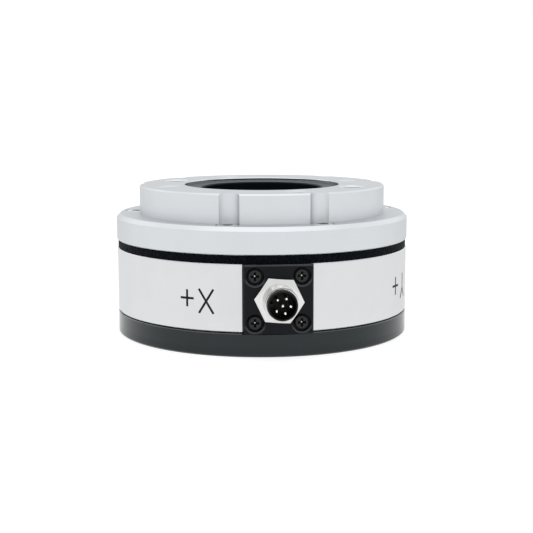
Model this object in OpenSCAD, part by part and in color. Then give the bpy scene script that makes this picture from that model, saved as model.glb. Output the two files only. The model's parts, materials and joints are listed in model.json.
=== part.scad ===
// Six-axis force torque sensor for a robot wrist. Z = 0 is the face that bolts to the robot. The tool flange
// is on top, and the signal connector points along -Y. Angles are measured from the connector towards +X.

/* [Body] */
// Outer diameter of base, housing and flange ledge
body_d = 75; // [72:0.5:90]
// Height of the base's outer rim
base_h = 5.65; // [5:0.05:6.5]
// Height of the housing wall
shell_h = 16.05; // [15.5:0.05:18]
// Thickness of the housing wall
shell_wall = 2; // [1.6:0.1:2.3]
// Thickness of the gasket between base and housing
base_gasket_t = 0.3; // [0.2:0.05:0.5]
// Height of the gap that the foam ring fills
seal_h = 2.15; // [1.5:0.05:3]
// Width of the foam ring
seal_w = 1.7; // [1.2:0.1:2]
// Bevel on the base's lower edge
base_bevel = 0.35; // [0.2:0.05:0.8]
// Small bevel on the edges that meet at a joint
edge_bevel = 0.18; // [0.1:0.02:0.3]

/* [Tool flange] */
// How far the flange stands out over the housing
flange_proud = 0.15; // [0:0.05:0.3]
// Height of the flange's wide ledge
ledge_h = 6.5; // [6:0.1:9]
// Bevel round the ledge's upper edge
ledge_bevel = 1; // [0.5:0.1:1.4]
// Width of the ledge round the boss
ledge_w = 6; // [5.6:0.1:6.4]
// Height of the boss above the ledge
boss_h = 7.15; // [6.5:0.05:10]
// Bevel round the boss and at the mouths of the pin holes
boss_bevel = 0.35; // [0.2:0.05:0.45]
// Width of the boss's flat face, from its edge to the recess for the cap
boss_face_w = 11.65; // [11:0.05:12]
// Bevel round the recess
recess_bevel = 0.15; // [0.1:0.05:0.3]
// Depth from the flange face to the cap's face
recess_depth = 0.85; // [0.5:0.05:1.5]
// Width of the flange's rim round the pocket under it
flange_rim_w = 7.65; // [7.2:0.05:8.5]
// Depth of the pocket under the flange
flange_pocket_depth = 2.85; // [2:0.05:3]

/* [Centre cap] */
// Width of the cap's rim, from the recess's wall to the centring bore
cap_rim_w = 4.25; // [4:0.05:5]
// Depth of the centring bore below the cap's face
centring_depth = 6.5; // [6:0.1:7]
// Wall between the centring bore and the flange
cap_wall = 2.25; // [2:0.05:2.5]
// Thickness of the cap's rim and of its floor
cap_t = 1.2; // [1:0.1:1.5]
// Bevel at the bore's mouth
cap_bevel = 0.3; // [0.2:0.05:0.5]

/* [Mounting holes] */
// Distance from the boss's edge to the circle of threads and pin holes, which both faces share
mount_in = 6.65; // [6:0.05:7]
// Number of threads on each face
mount_count = 4; // [4]
// Core diameter of the threads
thread_core_d = 5; // [4.2:0.1:5.2]
// Mouth diameter of the threads' countersinks
thread_mouth_d = 6.8; // [6.2:0.1:7]
// Depth of the threads' countersinks
thread_sink = 0.45; // [0.3:0.05:0.5]
// Depth of the flange's threads
tool_thread_depth = 9; // [7:0.5:9]
// Depth of the base's threads
robot_thread_depth = 8; // [6:0.5:8]
// Angle of the first thread
thread_angle = 15; // [12:1:18]
// Diameter of the pin holes
pin_hole_d = 6; // [5:0.5:6]
// Depth of the pin holes
pin_hole_depth = 7; // [5:0.5:7.5]
// Angle of the first pin hole
pin_hole_angle = 60; // [57:1:63]

/* [Flange screws] */
// Number of screw pairs, one for each beam
arms = 3; // [3]
// Distance from the flange's edge to the circle of its screws
flange_screw_in = 4.65; // [4.4:0.05:5]
// Thread diameter
flange_screw_d = 3; // [2.5:0.1:3]
// Head diameter
flange_head_d = 5.5; // [5:0.1:5.6]
// Head height
flange_head_h = 3; // [2.5:0.1:3]
// Socket width across flats
flange_socket_af = 2.5; // [2:0.1:2.6]
// Length under the head
flange_screw_l = 10; // [8:0.5:10]

/* [Sensing element] */
// Thickness of the outer ring and the beams
ring_h = 6.95; // [6:0.05:7]
// Width of the outer ring
ring_w = 6.6; // [6.4:0.1:7]
// Gap between the outer ring and the housing
ring_gap = 0.4; // [0.3:0.05:0.6]
// Width of each beam
beam_w = 7; // [5:0.5:8]
// Height of each beam
beam_h = 5; // [4:0.25:5.5]
// Width of the slot behind each beam's end
flexure_slot_w = 0.9; // [0.6:0.1:1]
// Thickness of the leaf that each beam ends in
flexure_leaf_t = 1.5; // [1:0.1:1.6]
// Half of the angle that each slot spans
flexure_angle = 15; // [12:1:17]
// Hub diameter
hub_d = 39; // [38:0.5:40]
// How far the hub rises over the beams
hub_rise = 0.4; // [0.2:0.1:1]
// Diameter of the hole through the hub
hub_bore_d = 14; // [10:0.5:15]
// Circle on which the hub screws and pins lie
hub_pcd = 26; // [25.5:0.5:27]
// Number of hub screws
hub_screw_count = 6; // [6]
// Thread diameter of the hub screws
hub_screw_d = 4; // [3.5:0.1:4]
// Head diameter of the hub screws
hub_head_d = 7; // [6.5:0.1:7]
// Head height of the hub screws
hub_head_h = 4; // [3.5:0.1:4]
// Socket width of the hub screws
hub_socket_af = 3; // [2.5:0.1:3]
// Length of the hub screws under the head
hub_screw_l = 14; // [10:0.5:14]
// Diameter of the dowel pins
hub_pin_d = 3; // [2.5:0.1:3.2]
// Length of the dowel pins
hub_pin_l = 8; // [6:0.5:8]

/* [Base] */
// Height of the inner step that the housing is centred on
step_h = 3.85; // [3.2:0.05:4]
// Height of the pedestal above the step
pedestal_h = 4.5; // [4:0.1:5.4]
// Number of screws from the base into the housing
base_screw_count = 6; // [6]
// Distance from the body's edge to the circle of the base screws
base_screw_in = 4.9; // [4.6:0.05:5.2]
// Thread diameter of the base screws
base_screw_d = 3; // [2.5:0.1:3]
// Head diameter of the base screws
base_head_d = 5.6; // [5.2:0.1:5.8]
// Length of the base screws
base_screw_l = 13; // [11.5:0.5:13]
// Gap between the sensing element and the lugs that the base screws enter
lug_gap = 1.7; // [1:0.1:2]
// Width of the lugs
lug_w = 6.2; // [5.5:0.1:6.4]

/* [Connector plate] */
// Width of the plate
plate_w = 16.4; // [15.8:0.1:16.8]
// Plate thickness
plate_t = 2.6; // [2.4:0.1:2.8]
// How far the plate's face stands out from the housing
plate_proud = 0.5; // [0.3:0.1:1]
// How deep the plate's lower edge stands in the base's rim
plate_foot = 0.05; // [0.05:0.05:0.5]
// Corner radius
plate_corner_r = 0.6; // [0.3:0.1:1]
// Bevel round the face
plate_bevel = 0.3; // [0.2:0.05:0.5]
// Thickness of the gasket behind the plate
plate_gasket_t = 0.4; // [0.3:0.05:0.5]
// Thickness of the pad that the plate is screwed to
pad_t = 2.4; // [2.2:0.1:2.5]
// How far the pad reaches past the plate on each side
pad_side = 1.2; // [1:0.1:1.5]
// Distance from the plate's edges to the middles of its screws
plate_screw_in = 2.7; // [2.6:0.05:2.9]
// Thread diameter of the plate screws
plate_screw_d = 2; // [1.6:0.1:2]
// Head diameter of the plate screws
plate_head_d = 3.5; // [3:0.1:3.6]
// Head height of the plate screws
plate_head_h = 1.2; // [1:0.05:1.3]

/* [Connector] */
// Half of what the hexagon is wider across flats than the barrel
hex_land = 1.1; // [0.9:0.1:1.2]
// Thickness of the hexagon
hex_t = 2; // [1.5:0.1:2.5]
// Turn of the hexagon and of the pin layout
connector_turn = -4.5; // [-8:0.5:0]
// Outer diameter of the threaded barrel
barrel_d = 8; // [7.6:0.1:8.4]
// Length of the barrel beyond the hexagon
barrel_l = 5; // [4:0.1:6]
// Wall of the barrel round the insert's collar
barrel_wall = 0.4; // [0.3:0.05:0.6]
// Step from the barrel to the rear barrel behind the plate
rear_step = 0.7; // [0.6:0.05:0.8]
// Length of the rear barrel behind the hexagon
rear_l = 6.4; // [5.8:0.1:6.8]
// Wall of the rear barrel round the insert
rear_wall = 0.65; // [0.5:0.05:0.8]
// Wall of the insert's collar
collar_wall = 0.5; // [0.4:0.05:0.6]
// How far the collar stands out of the barrel
collar_out = 1.5; // [0.5:0.1:2]
// Depth of the collar's hollow
collar_depth = 4.8; // [4:0.1:5]
// Thickness of the collar's floor
collar_floor_t = 0.8; // [0.6:0.05:1]
// Diameter of the contact pins
contact_d = 0.8; // [0.6:0.05:0.9]
// Distance from the insert's edge to the circle of pins
contact_in = 0.75; // [0.65:0.05:0.9]
// Number of pins on the circle
contact_count = 5; // [5]
// Angle between neighbouring pins
contact_step = 67.5; // [66:0.5:68]
// How far the pins stay behind the collar's edge
contact_inset = 0.1; // [0:0.1:1.5]
// Length of the pins' solder tails
contact_tail = 1.2; // [0.8:0.1:1.5]
// Half of what the lock nut is wider across flats than the rear barrel
nut_wall = 1.2; // [1:0.1:1.4]
// Thickness of the lock nut
nut_t = 1.8; // [1.4:0.1:2]

/* [Electronics] */
// Gap between the board and what it goes round or between
board_gap = 0.7; // [0.5:0.05:1]
// Board thickness
board_t = 1.2; // [0.8:0.1:1.6]
// Height of the spacers under the board
standoff_h = 2; // [1.5:0.1:2.2]
// Diameter of the spacers
standoff_d = 3.8; // [3.4:0.1:4]
// Angle of the first of the four spacers
standoff_angle = 37; // [36:0.5:38]
// Thread diameter of the board screws
board_screw_d = 2; // [1.6:0.1:2]
// Head height of the board screws
board_head_h = 1.2; // [1:0.1:1.4]
// Length of the board screws under the head
board_screw_l = 6; // [4.5:0.25:6]
// Bare edge of the board beside the processor's leads
board_land = 1.1; // [0.8:0.05:1.4]
// Distance from the board's inner edge to the header
header_in = 0.5; // [0.4:0.05:0.8]
// Diameter of the signal wires
signal_wire_d = 0.7; // [0.5:0.05:0.8]
// Diameter of the gauge wires
gauge_wire_d = 0.4; // [0.3:0.05:0.5]

/* [Clearances] */
// Radial gap of a located fit
fit_gap = 0.05; // [0.03:0.01:0.1]
// Radial gap round a screw in its thread
thread_gap = 0.02; // [0.01:0.01:0.04]
// Radial gap round a screw or a pin in its through hole
hole_gap = 0.15; // [0.1:0.05:0.2]
// Gap between the plate and its pocket
pocket_gap = 0.2; // [0.1:0.05:0.3]
// Gap between the pad and the base's step
pad_gap = 0.2; // [0.1:0.05:0.3]
// Radial gap round the heads of the plate screws
plate_head_gap = 0.4; // [0.3:0.05:0.5]
// How far a sunk screw head stays below its face
head_sink = 0.2; // [0.1:0.05:0.3]
// Gap between a screw's tip and the end of its hole
tip_gap = 0.5; // [0.3:0.05:0.6]

/* [Hidden] */
$fn = 96;
over = 1;                       // how far a cutter reaches past the face that it cuts

body_r = body_d / 2;
shell_in_r = body_r - shell_wall;
shell_z = base_h + base_gasket_t;
seal_z = shell_z + shell_h;
seal_in_r = shell_in_r + 2 * fit_gap;
flange_z = seal_z + seal_h;
ledge_z = flange_z + ledge_h;
top_z = ledge_z + boss_h;

step_z = base_h + step_h;
step_r = shell_in_r - 2 * fit_gap;
pedestal_z = step_z + pedestal_h;
base_screw_r = body_r - base_screw_in;
base_screw_land = 0.25;         // straight edge of a countersunk head

flange_r = body_r + flange_proud;
boss_r = flange_r - ledge_w;
recess_r = boss_r - boss_face_w;
flange_pocket_r = flange_r - flange_rim_w;
flange_pocket_z = flange_z + flange_pocket_depth;
mount_r = boss_r - mount_in;
flange_screw_r = flange_r - flange_screw_in;
flange_seat_z = ledge_z - flange_head_h;
scallop_d = flange_head_d + 2 * hole_gap;

centring_r = recess_r - cap_rim_w;
cap_face_z = top_z - recess_depth;
cap_seat_z = cap_face_z - cap_t;
cap_floor_z = cap_face_z - centring_depth;
cap_bottom_z = cap_floor_z - cap_t;
cap_tube_r = centring_r + cap_wall;
cap_cord_d = 0.76;
cap_groove_z = (cap_floor_z + cap_seat_z) / 2;
cap_groove_w = 1.7 * cap_cord_d;
cap_groove_depth = cap_cord_d + 2 * thread_gap;

ring_z = flange_z - ring_h;
ring_out_r = shell_in_r - ring_gap;
ring_in_r = ring_out_r - ring_w;
hub_r = hub_d / 2;
hub_top_z = ring_z + beam_h + hub_rise;
hub_h = hub_top_z - pedestal_z;
hub_seat_z = hub_top_z - hub_head_h - head_sink;
hub_pin_z = pedestal_z - hub_pin_l / 2;
beam_r = (hub_r + ring_in_r) / 2;
beam_angles = [for (i = [0 : arms - 1]) (i + 0.5) * 360 / arms];
gauge_size = [2.6, 4.2, 0.12];
lug_h = ring_z - lug_gap - step_z;

plate_h = seal_z - base_h + plate_foot;
plate_z = seal_z - plate_h / 2;
plate_reach = body_r + plate_proud;
plate_back = plate_reach - plate_t;
plate_hole_z = plate_z - plate_h / 2 - pocket_gap;
plate_counterbore_d = plate_head_d + 2 * plate_head_gap;
plate_seat = plate_reach - plate_head_h - head_sink;
pocket_w = plate_w + 2 * pocket_gap;
pocket_reach = plate_back - plate_gasket_t;
pad_back = pocket_reach - pad_t;
pad_w = plate_w + 2 * pad_side;
ring_notch_w = pad_w + 2 * ring_gap;
ring_flat = pad_back - ring_gap;

hex_face = plate_reach + hex_t;
barrel_r = barrel_d / 2;
barrel_face = hex_face + barrel_l;
barrel_neck = 0.25;             // depth and half length of the groove behind the barrel's thread
barrel_bevel = 0.25;
hex_af = barrel_d + 2 * hex_land;
rear_r = barrel_r - rear_step;
nut_af = 2 * (rear_r + nut_wall);
rear_face = plate_reach - rear_l;
collar_r = barrel_r - barrel_wall - fit_gap;
collar_bore_r = collar_r - collar_wall;
collar_face = barrel_face + collar_out;
collar_floor = collar_face - collar_depth;
collar_base = collar_floor - collar_floor_t;
insert_core_r = rear_r - rear_wall - fit_gap;
nut_hole_r = nut_af / sqrt(3) + 2 * hole_gap;
face_cord_d = 0.64;
face_groove_r = (rear_r + hex_af / 2) / 2;
face_groove_w = 1.5 * face_cord_d;
face_groove_depth = face_cord_d + 2 * thread_gap;
contact_circle_r = insert_core_r - contact_in;
contact_back = rear_face - contact_tail;
contact_angles = [for (i = [0 : contact_count - 1])
    180 + (360 - (contact_count - 1) * contact_step) / 2 + i * contact_step];

board_z = step_z + standoff_h;
board_top = board_z + board_t;
board_in_r = hub_r + board_gap;
board_out_r = base_screw_r - lug_w / 2 - board_gap;
board_mid_r = (board_in_r + board_out_r) / 2;
standoff_angles = [standoff_angle, 180 - standoff_angle, 180 + standoff_angle, 360 - standoff_angle];
header_size = [7, 3, 2.4];
header_wall = 0.5;
header_reach = board_in_r + header_in + header_size[1];
board_flat = header_reach + header_wall;
chip_lift = 0.1;
lead_reach = 0.7;
lead_w = 0.3;
converter_size = [5, 3.2, 1.1];
transceiver_size = [4.9, 3.6, 1.5];
regulator_size = [6, 3.2, 1.6];
processor_h = 1.1;
passive_size = [0.8, 1.6, 0.8];
passive_step = 3.6;             // angle between neighbouring passives
wire_sides = 8;

pair_angle = asin((ring_notch_w / 2 + flange_screw_d / 2) / flange_screw_r);
pair_angles = [for (i = [0 : arms - 1], side = [-1, 1]) i * 360 / arms + side * pair_angle];
thread_angles = [for (i = [0 : mount_count - 1]) thread_angle + i * 360 / mount_count];
pin_hole_angles = [pin_hole_angle, pin_hole_angle + 180];
base_screw_angles = [for (i = [0 : base_screw_count - 1]) (i + 0.5) * 360 / base_screw_count];
hub_screw_angles = [for (i = [0 : hub_screw_count - 1]) i * 360 / hub_screw_count];
hub_pin_angles = [180 / hub_screw_count, 180 / hub_screw_count + 180];

aluminium = [0.80, 0.81, 0.82];
black_anodised = [0.07, 0.075, 0.08];
steel = [0.62, 0.62, 0.63];
black_steel = [0.05, 0.05, 0.055];
nickel = [0.74, 0.73, 0.70];
gold = [0.85, 0.68, 0.32];
black_plastic = [0.03, 0.03, 0.032];
black_rubber = [0.04, 0.04, 0.042];
board_green = [0.05, 0.25, 0.14];
chip_black = [0.06, 0.06, 0.06];
gauge_amber = [0.78, 0.52, 0.18];
ceramic = [0.72, 0.62, 0.48];
wire_red = [0.55, 0.08, 0.07];

// ---- placing ----

// Puts its children at an angle from the connector, a distance from the axis, and a height
module at_angle(angle, radius, z = 0) {
    rotate([0, 0, angle]) translate([0, -radius, z]) children();
}

// Local Z runs outwards along the connector's axis, local Y runs up
module on_connector(reach = 0) {
    translate([0, -reach, plate_z]) rotate([90, 0, 0]) children();
}

// The four places of the plate screws, in the connector's frame
module at_plate_screws() {
    for (x = [-1, 1], y = [-1, 1])
        translate([x * (plate_w / 2 - plate_screw_in), y * (plate_h / 2 - plate_screw_in), 0]) children();
}

// ---- shapes that repeat ----

// A hole downwards from z = 0, with a countersink at its mouth
module mouth_hole(core_d, mouth_d, sink, depth) {
    translate([0, 0, -depth]) cylinder(d = core_d, h = depth + over);
    translate([0, 0, -sink]) cylinder(d1 = core_d, d2 = mouth_d, h = sink);
    cylinder(d = mouth_d, h = over);
}

// Socket head screw: its seat is at z = 0 and its shank points down
module socket_screw(thread_d, head_d, head_h, socket_af, length) {
    tip = thread_d / 8;
    rim = head_d / 16;
    difference() {
        rotate_extrude() polygon([
            [0, -length], [thread_d / 2 - tip, -length], [thread_d / 2, -length + tip], [thread_d / 2, 0],
            [head_d / 2, 0], [head_d / 2, head_h - rim], [head_d / 2 - rim, head_h], [0, head_h]]);
        translate([0, 0, head_h / 2]) cylinder(d = socket_af * 2 / sqrt(3), h = head_h, $fn = 6);
    }
}

// Countersunk screw: its flat head is at z = 0 and its shank points up
module countersunk_screw(thread_d, head_d, socket_af, length) {
    cone = (head_d - thread_d) / 2;
    difference() {
        rotate_extrude() polygon([
            [0, 0], [head_d / 2, 0], [head_d / 2, base_screw_land], [thread_d / 2, base_screw_land + cone],
            [thread_d / 2, length - thread_d / 8], [thread_d * 3 / 8, length], [0, length]]);
        translate([0, 0, -over]) cylinder(d = socket_af * 2 / sqrt(3), h = over + thread_d / 2.5, $fn = 6);
    }
}

// Cross recess screw: its seat is at z = 0 and its shank points down
module cross_screw(thread_d, head_d, head_h, length) {
    rim = head_h / 4;
    slot_w = head_d / 6;
    slot_l = head_d * 0.58;
    slot_depth = head_h * 0.65;
    difference() {
        rotate_extrude() polygon([
            [0, -length], [thread_d / 2, -length], [thread_d / 2, 0], [head_d / 2, 0],
            [head_d / 2, head_h - rim], [head_d / 2 - rim, head_h], [0, head_h]]);
        translate([0, 0, head_h - slot_depth / 2 + over / 2]) {
            cube([slot_l, slot_w, slot_depth + over], center = true);
            cube([slot_w, slot_l, slot_depth + over], center = true);
        }
    }
}

// Outline of the connector plate and its gasket, with round corners
module plate_outline() {
    square([plate_w - 2 * plate_corner_r, plate_h], center = true);
    square([plate_w, plate_h - 2 * plate_corner_r], center = true);
    for (x = [-1, 1], y = [-1, 1])
        translate([x * (plate_w / 2 - plate_corner_r), y * (plate_h / 2 - plate_corner_r)])
            circle(r = plate_corner_r);
}

// Ring of round section that lies flat round the Z axis
module cord_ring(radius, cord_d) {
    rotate_extrude() translate([radius, 0]) circle(d = cord_d, $fn = 24);
}

// Chip with rows of leads on both long sides
module leaded_chip(size, leads) {
    pitch = size[0] / (leads + 0.5);
    translate([-size[0] / 2, -size[1] / 2, chip_lift]) cube([size[0], size[1], size[2] - chip_lift]);
    for (i = [0 : leads - 1])
        translate([(i - (leads - 1) / 2) * pitch - pitch / 4, -size[1] / 2 - lead_reach, 0])
            cube([pitch / 2, size[1] + 2 * lead_reach, lead_w]);
}

// ---- swept wires ----

function unit(v) = v / norm(v);

// Point on a cubic curve that leaves a in direction da and reaches b in direction db
function curve_point(a, da, b, db, t) =
    (1 - t) ^ 3 * a + 3 * (1 - t) ^ 2 * t * (a + da) + 3 * (1 - t) * t ^ 2 * (b - db) + t ^ 3 * b;

// Ring of points round a path point, square to the direction given
function wire_ring(centre, along, side, radius) =
    let (u = unit(side - (side * along) * along), v = cross(along, u))
    [for (k = [0 : wire_sides - 1]) let (q = k * 360 / wire_sides)
        centre + radius * (cos(q) * u + sin(q) * v)];

// Tube along a cubic curve, with flat ends
module wire(a, da, b, db, wire_d, rings = 8, side = [1, 0.02, 0.03]) {
    path = [for (i = [0 : rings]) curve_point(a, da, b, db, i / rings)];
    heading = [for (i = [0 : rings])
        i == 0 ? unit(da) : i == rings ? unit(db) : unit(path[i + 1] - path[i - 1])];
    skin = [for (i = [0 : rings]) each wire_ring(path[i], heading[i], side, wire_d / 2)];
    walls = [for (i = [0 : rings - 1], k = [0 : wire_sides - 1])
        let (low = i * wire_sides, next = (k + 1) % wire_sides)
        [low + k, low + wire_sides + k, low + wire_sides + next, low + next]];
    last = rings * wire_sides;
    polyhedron(skin, concat(walls, [[for (k = [0 : wire_sides - 1]) k]],
        [[for (k = [wire_sides - 1 : -1 : 0]) last + k]]));
}

// ---- base and housing ----

module plate_pocket(width, reach, low_z) {
    translate([-width / 2, -body_r - over, low_z])
        cube([width, body_r + over - reach, seal_z + over - low_z]);
}

module base_plate() {
    color(black_anodised) difference() {
        rotate_extrude($fn = 180) polygon([
            [0, 0], [body_r - base_bevel, 0], [body_r, base_bevel], [body_r, base_h - edge_bevel],
            [body_r - edge_bevel, base_h], [step_r, base_h], [step_r, step_z], [hub_r, step_z],
            [hub_r, pedestal_z], [0, pedestal_z]]);
        plate_pocket(pocket_w, pocket_reach, plate_hole_z);
        plate_pocket(pad_w + 2 * pad_gap, rear_face - pad_gap, base_h);
        for (a = thread_angles) at_angle(a, mount_r)
            mirror([0, 0, 1]) mouth_hole(thread_core_d, thread_mouth_d, thread_sink, robot_thread_depth);
        for (a = pin_hole_angles) at_angle(a, mount_r) mirror([0, 0, 1])
            mouth_hole(pin_hole_d, pin_hole_d + 2 * boss_bevel, boss_bevel, pin_hole_depth);
        for (a = base_screw_angles) at_angle(a, base_screw_r) base_screw_hole();
        for (a = hub_screw_angles) at_angle(a, hub_pcd / 2, hub_seat_z - hub_screw_l - over)
            cylinder(d = hub_screw_d + 2 * thread_gap, h = hub_screw_l + over);
        for (a = hub_pin_angles) at_angle(a, hub_pcd / 2, hub_pin_z)
            cylinder(d = hub_pin_d + 2 * thread_gap, h = hub_pin_l);
        for (a = standoff_angles) at_angle(a, board_mid_r, board_top - board_screw_l - tip_gap)
            cylinder(d = board_screw_d + 2 * thread_gap, h = board_screw_l);
    }
}

module base_screw_hole() {
    hole_d = base_screw_d + 2 * hole_gap;
    mouth_d = base_head_d + 2 * hole_gap;
    sink = base_screw_land + (mouth_d - hole_d) / 2;
    translate([0, 0, -over]) cylinder(d = hole_d, h = step_z + 2 * over);
    translate([0, 0, -over]) cylinder(d = mouth_d, h = over + base_screw_land);
    translate([0, 0, base_screw_land]) cylinder(d1 = mouth_d, d2 = hole_d, h = sink - base_screw_land);
}

module base_screws() {
    color(steel) for (a = base_screw_angles) at_angle(a, base_screw_r)
        countersunk_screw(base_screw_d, base_head_d, base_screw_d * 0.67, base_screw_l);
}

// Section of the housing square to its axis, as far as the gasket covers it
module shell_outline() {
    difference() {
        circle(r = body_r - edge_bevel, $fn = 180);
        circle(r = shell_in_r, $fn = 180);
    }
    pad_outline();
}

module pad_outline() {
    intersection() {
        circle(r = shell_in_r + shell_wall / 2);
        translate([-pad_w / 2, -body_r]) square([pad_w, body_r - pad_back]);
    }
}

module base_gasket() {
    color(black_rubber) difference() {
        translate([0, 0, base_h]) linear_extrude(base_gasket_t) shell_outline();
        plate_pocket(pocket_w, pocket_reach, 0);
    }
}

module body_shell() {
    color(aluminium) difference() {
        union() {
            rotate_extrude($fn = 180) polygon([
                [shell_in_r, shell_z], [body_r - edge_bevel, shell_z], [body_r, shell_z + edge_bevel],
                [body_r, seal_z - edge_bevel], [body_r - edge_bevel, seal_z], [shell_in_r, seal_z]]);
            translate([0, 0, shell_z]) linear_extrude(shell_h) pad_outline();
            for (a = base_screw_angles) translate([0, 0, step_z]) linear_extrude(lug_h) lug_outline(a);
        }
        plate_pocket(pocket_w, pocket_reach, 0);
        on_connector() cylinder(r = nut_hole_r, h = body_r);
        on_connector() at_plate_screws() cylinder(d = plate_screw_d + 2 * thread_gap, h = body_r);
        for (a = base_screw_angles) at_angle(a, base_screw_r, step_z - over)
            cylinder(d = base_screw_d + 2 * thread_gap, h = base_screw_l - step_z + over + tip_gap);
    }
}

// Lug on the housing's inner wall, as deep as the wall's middle
module lug_outline(angle) {
    intersection() {
        circle(r = shell_in_r + shell_wall / 2);
        rotate([0, 0, angle]) union() {
            translate([0, -base_screw_r]) circle(d = lug_w);
            translate([-lug_w / 2, -body_r]) square([lug_w, body_r - base_screw_r]);
        }
    }
}

module flange_seal() {
    color(black_rubber) translate([0, 0, seal_z]) difference() {
        cylinder(r = seal_in_r + seal_w, h = seal_h, $fn = 180);
        translate([0, 0, -over]) cylinder(r = seal_in_r, h = seal_h + 2 * over, $fn = 180);
    }
}

// ---- tool flange ----

module tool_flange() {
    bore_r = cap_tube_r + fit_gap;
    color(aluminium) difference() {
        rotate_extrude($fn = 180) polygon([
            [flange_pocket_r, flange_z], [flange_r - edge_bevel, flange_z],
            [flange_r, flange_z + edge_bevel], [flange_r, ledge_z - ledge_bevel],
            [flange_r - ledge_bevel, ledge_z], [boss_r, ledge_z], [boss_r, top_z - boss_bevel],
            [boss_r - boss_bevel, top_z], [recess_r + recess_bevel, top_z], [recess_r, top_z - recess_bevel],
            [recess_r, cap_seat_z], [bore_r, cap_seat_z], [bore_r, flange_pocket_z],
            [flange_pocket_r, flange_pocket_z]]);
        for (a = pair_angles) at_angle(a, flange_screw_r) {
            translate([0, 0, flange_seat_z]) cylinder(d = scallop_d, h = top_z);
            translate([0, 0, flange_z - over]) cylinder(d = flange_screw_d + 2 * hole_gap, h = ledge_h);
        }
        for (a = thread_angles) at_angle(a, mount_r, top_z)
            mouth_hole(thread_core_d, thread_mouth_d, thread_sink, tool_thread_depth);
        for (a = pin_hole_angles) at_angle(a, mount_r, top_z)
            mouth_hole(pin_hole_d, pin_hole_d + 2 * boss_bevel, boss_bevel, pin_hole_depth);
    }
}

module flange_screws() {
    color(steel) for (a = pair_angles) at_angle(a, flange_screw_r, flange_seat_z)
        socket_screw(flange_screw_d, flange_head_d, flange_head_h, flange_socket_af, flange_screw_l);
}

module centre_cap() {
    rim_r = recess_r - fit_gap;
    color(black_anodised) difference() {
        rotate_extrude($fn = 180) polygon([
            [0, cap_bottom_z], [cap_tube_r, cap_bottom_z], [cap_tube_r, cap_seat_z], [rim_r, cap_seat_z],
            [rim_r, cap_face_z], [centring_r + cap_bevel, cap_face_z], [centring_r, cap_face_z - cap_bevel],
            [centring_r, cap_floor_z], [0, cap_floor_z]]);
        translate([0, 0, cap_groove_z]) difference() {
            cylinder(r = cap_tube_r + over, h = cap_groove_w, center = true);
            cylinder(r = cap_tube_r - cap_groove_depth, h = cap_groove_w + over, center = true);
        }
    }
}

module cap_ring_seal() {
    color(black_rubber) translate([0, 0, cap_groove_z])
        cord_ring(cap_tube_r - cap_groove_depth + cap_cord_d / 2 + thread_gap, cap_cord_d);
}

// ---- sensing element ----

module sensing_element() {
    slot_in_r = ring_in_r + flexure_leaf_t;
    beam_out_r = ring_in_r + flexure_leaf_t / 2;
    color(steel) difference() {
        union() {
            translate([0, 0, ring_z]) difference() {
                cylinder(r = ring_out_r, h = ring_h, $fn = 180);
                translate([0, 0, -over]) cylinder(r = ring_in_r, h = ring_h + 2 * over, $fn = 180);
            }
            translate([0, 0, pedestal_z]) cylinder(r = hub_r, h = hub_h);
            for (a = beam_angles) rotate([0, 0, a]) translate([-beam_w / 2, -beam_out_r, ring_z])
                cube([beam_w, beam_out_r - hub_pcd / 2, beam_h]);
        }
        for (a = beam_angles) rotate([0, 0, a - flexure_angle - 90]) translate([0, 0, ring_z - over])
            rotate_extrude(angle = 2 * flexure_angle) translate([slot_in_r, 0])
                square([flexure_slot_w, ring_h + 2 * over]);
        translate([-ring_notch_w / 2, -body_r, ring_z - over])
            cube([ring_notch_w, body_r - ring_flat, ring_h + 2 * over]);
        on_connector(rear_face - ring_gap) cylinder(r = rear_r + ring_gap, h = body_r);
        translate([0, 0, pedestal_z - over]) cylinder(d = hub_bore_d, h = hub_h + 2 * over);
        for (a = hub_screw_angles) at_angle(a, hub_pcd / 2) {
            translate([0, 0, pedestal_z - over]) cylinder(d = hub_screw_d + 2 * hole_gap, h = hub_h);
            translate([0, 0, hub_seat_z]) cylinder(d = hub_head_d + 2 * hole_gap, h = hub_h);
        }
        for (a = hub_pin_angles) at_angle(a, hub_pcd / 2, hub_pin_z)
            cylinder(d = hub_pin_d + 2 * thread_gap, h = hub_pin_l + thread_gap);
        for (a = pair_angles) at_angle(a, flange_screw_r, ring_z - over)
            cylinder(d = flange_screw_d + 2 * thread_gap, h = ring_h + 2 * over);
    }
}

module hub_screws() {
    color(steel) for (a = hub_screw_angles) at_angle(a, hub_pcd / 2, hub_seat_z)
        socket_screw(hub_screw_d, hub_head_d, hub_head_h, hub_socket_af, hub_screw_l);
}

module hub_pins() {
    bevel = hub_pin_d / 10;
    color(steel) for (a = hub_pin_angles) at_angle(a, hub_pcd / 2, hub_pin_z)
        rotate_extrude() polygon([
            [0, 0], [hub_pin_d / 2 - bevel, 0], [hub_pin_d / 2, bevel], [hub_pin_d / 2, hub_pin_l - bevel],
            [hub_pin_d / 2 - bevel, hub_pin_l], [0, hub_pin_l]]);
}

module strain_gauges() {
    flat = gauge_size;
    upright = [gauge_size[2], gauge_size[1], gauge_size[0]];
    color(gauge_amber) for (a = beam_angles) at_angle(a, beam_r, ring_z + beam_h / 2) {
        for (side = [-1, 1]) translate([0, 0, side * (beam_h + flat[2]) / 2]) cube(flat, center = true);
        for (side = [-1, 1]) translate([side * (beam_w + flat[2]) / 2, 0, 0]) cube(upright, center = true);
    }
}

// ---- connector plate and connector ----

// Slab of the plate's thickness, with its face bevelled along two sides
module plate_wedge(width, length) {
    half = width / 2;
    rotate([90, 0, 0]) translate([0, 0, -length / 2]) linear_extrude(length) polygon([
        [-half, 0], [half, 0], [half, plate_t - plate_bevel], [half - plate_bevel, plate_t],
        [plate_bevel - half, plate_t], [-half, plate_t - plate_bevel]]);
}

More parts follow.
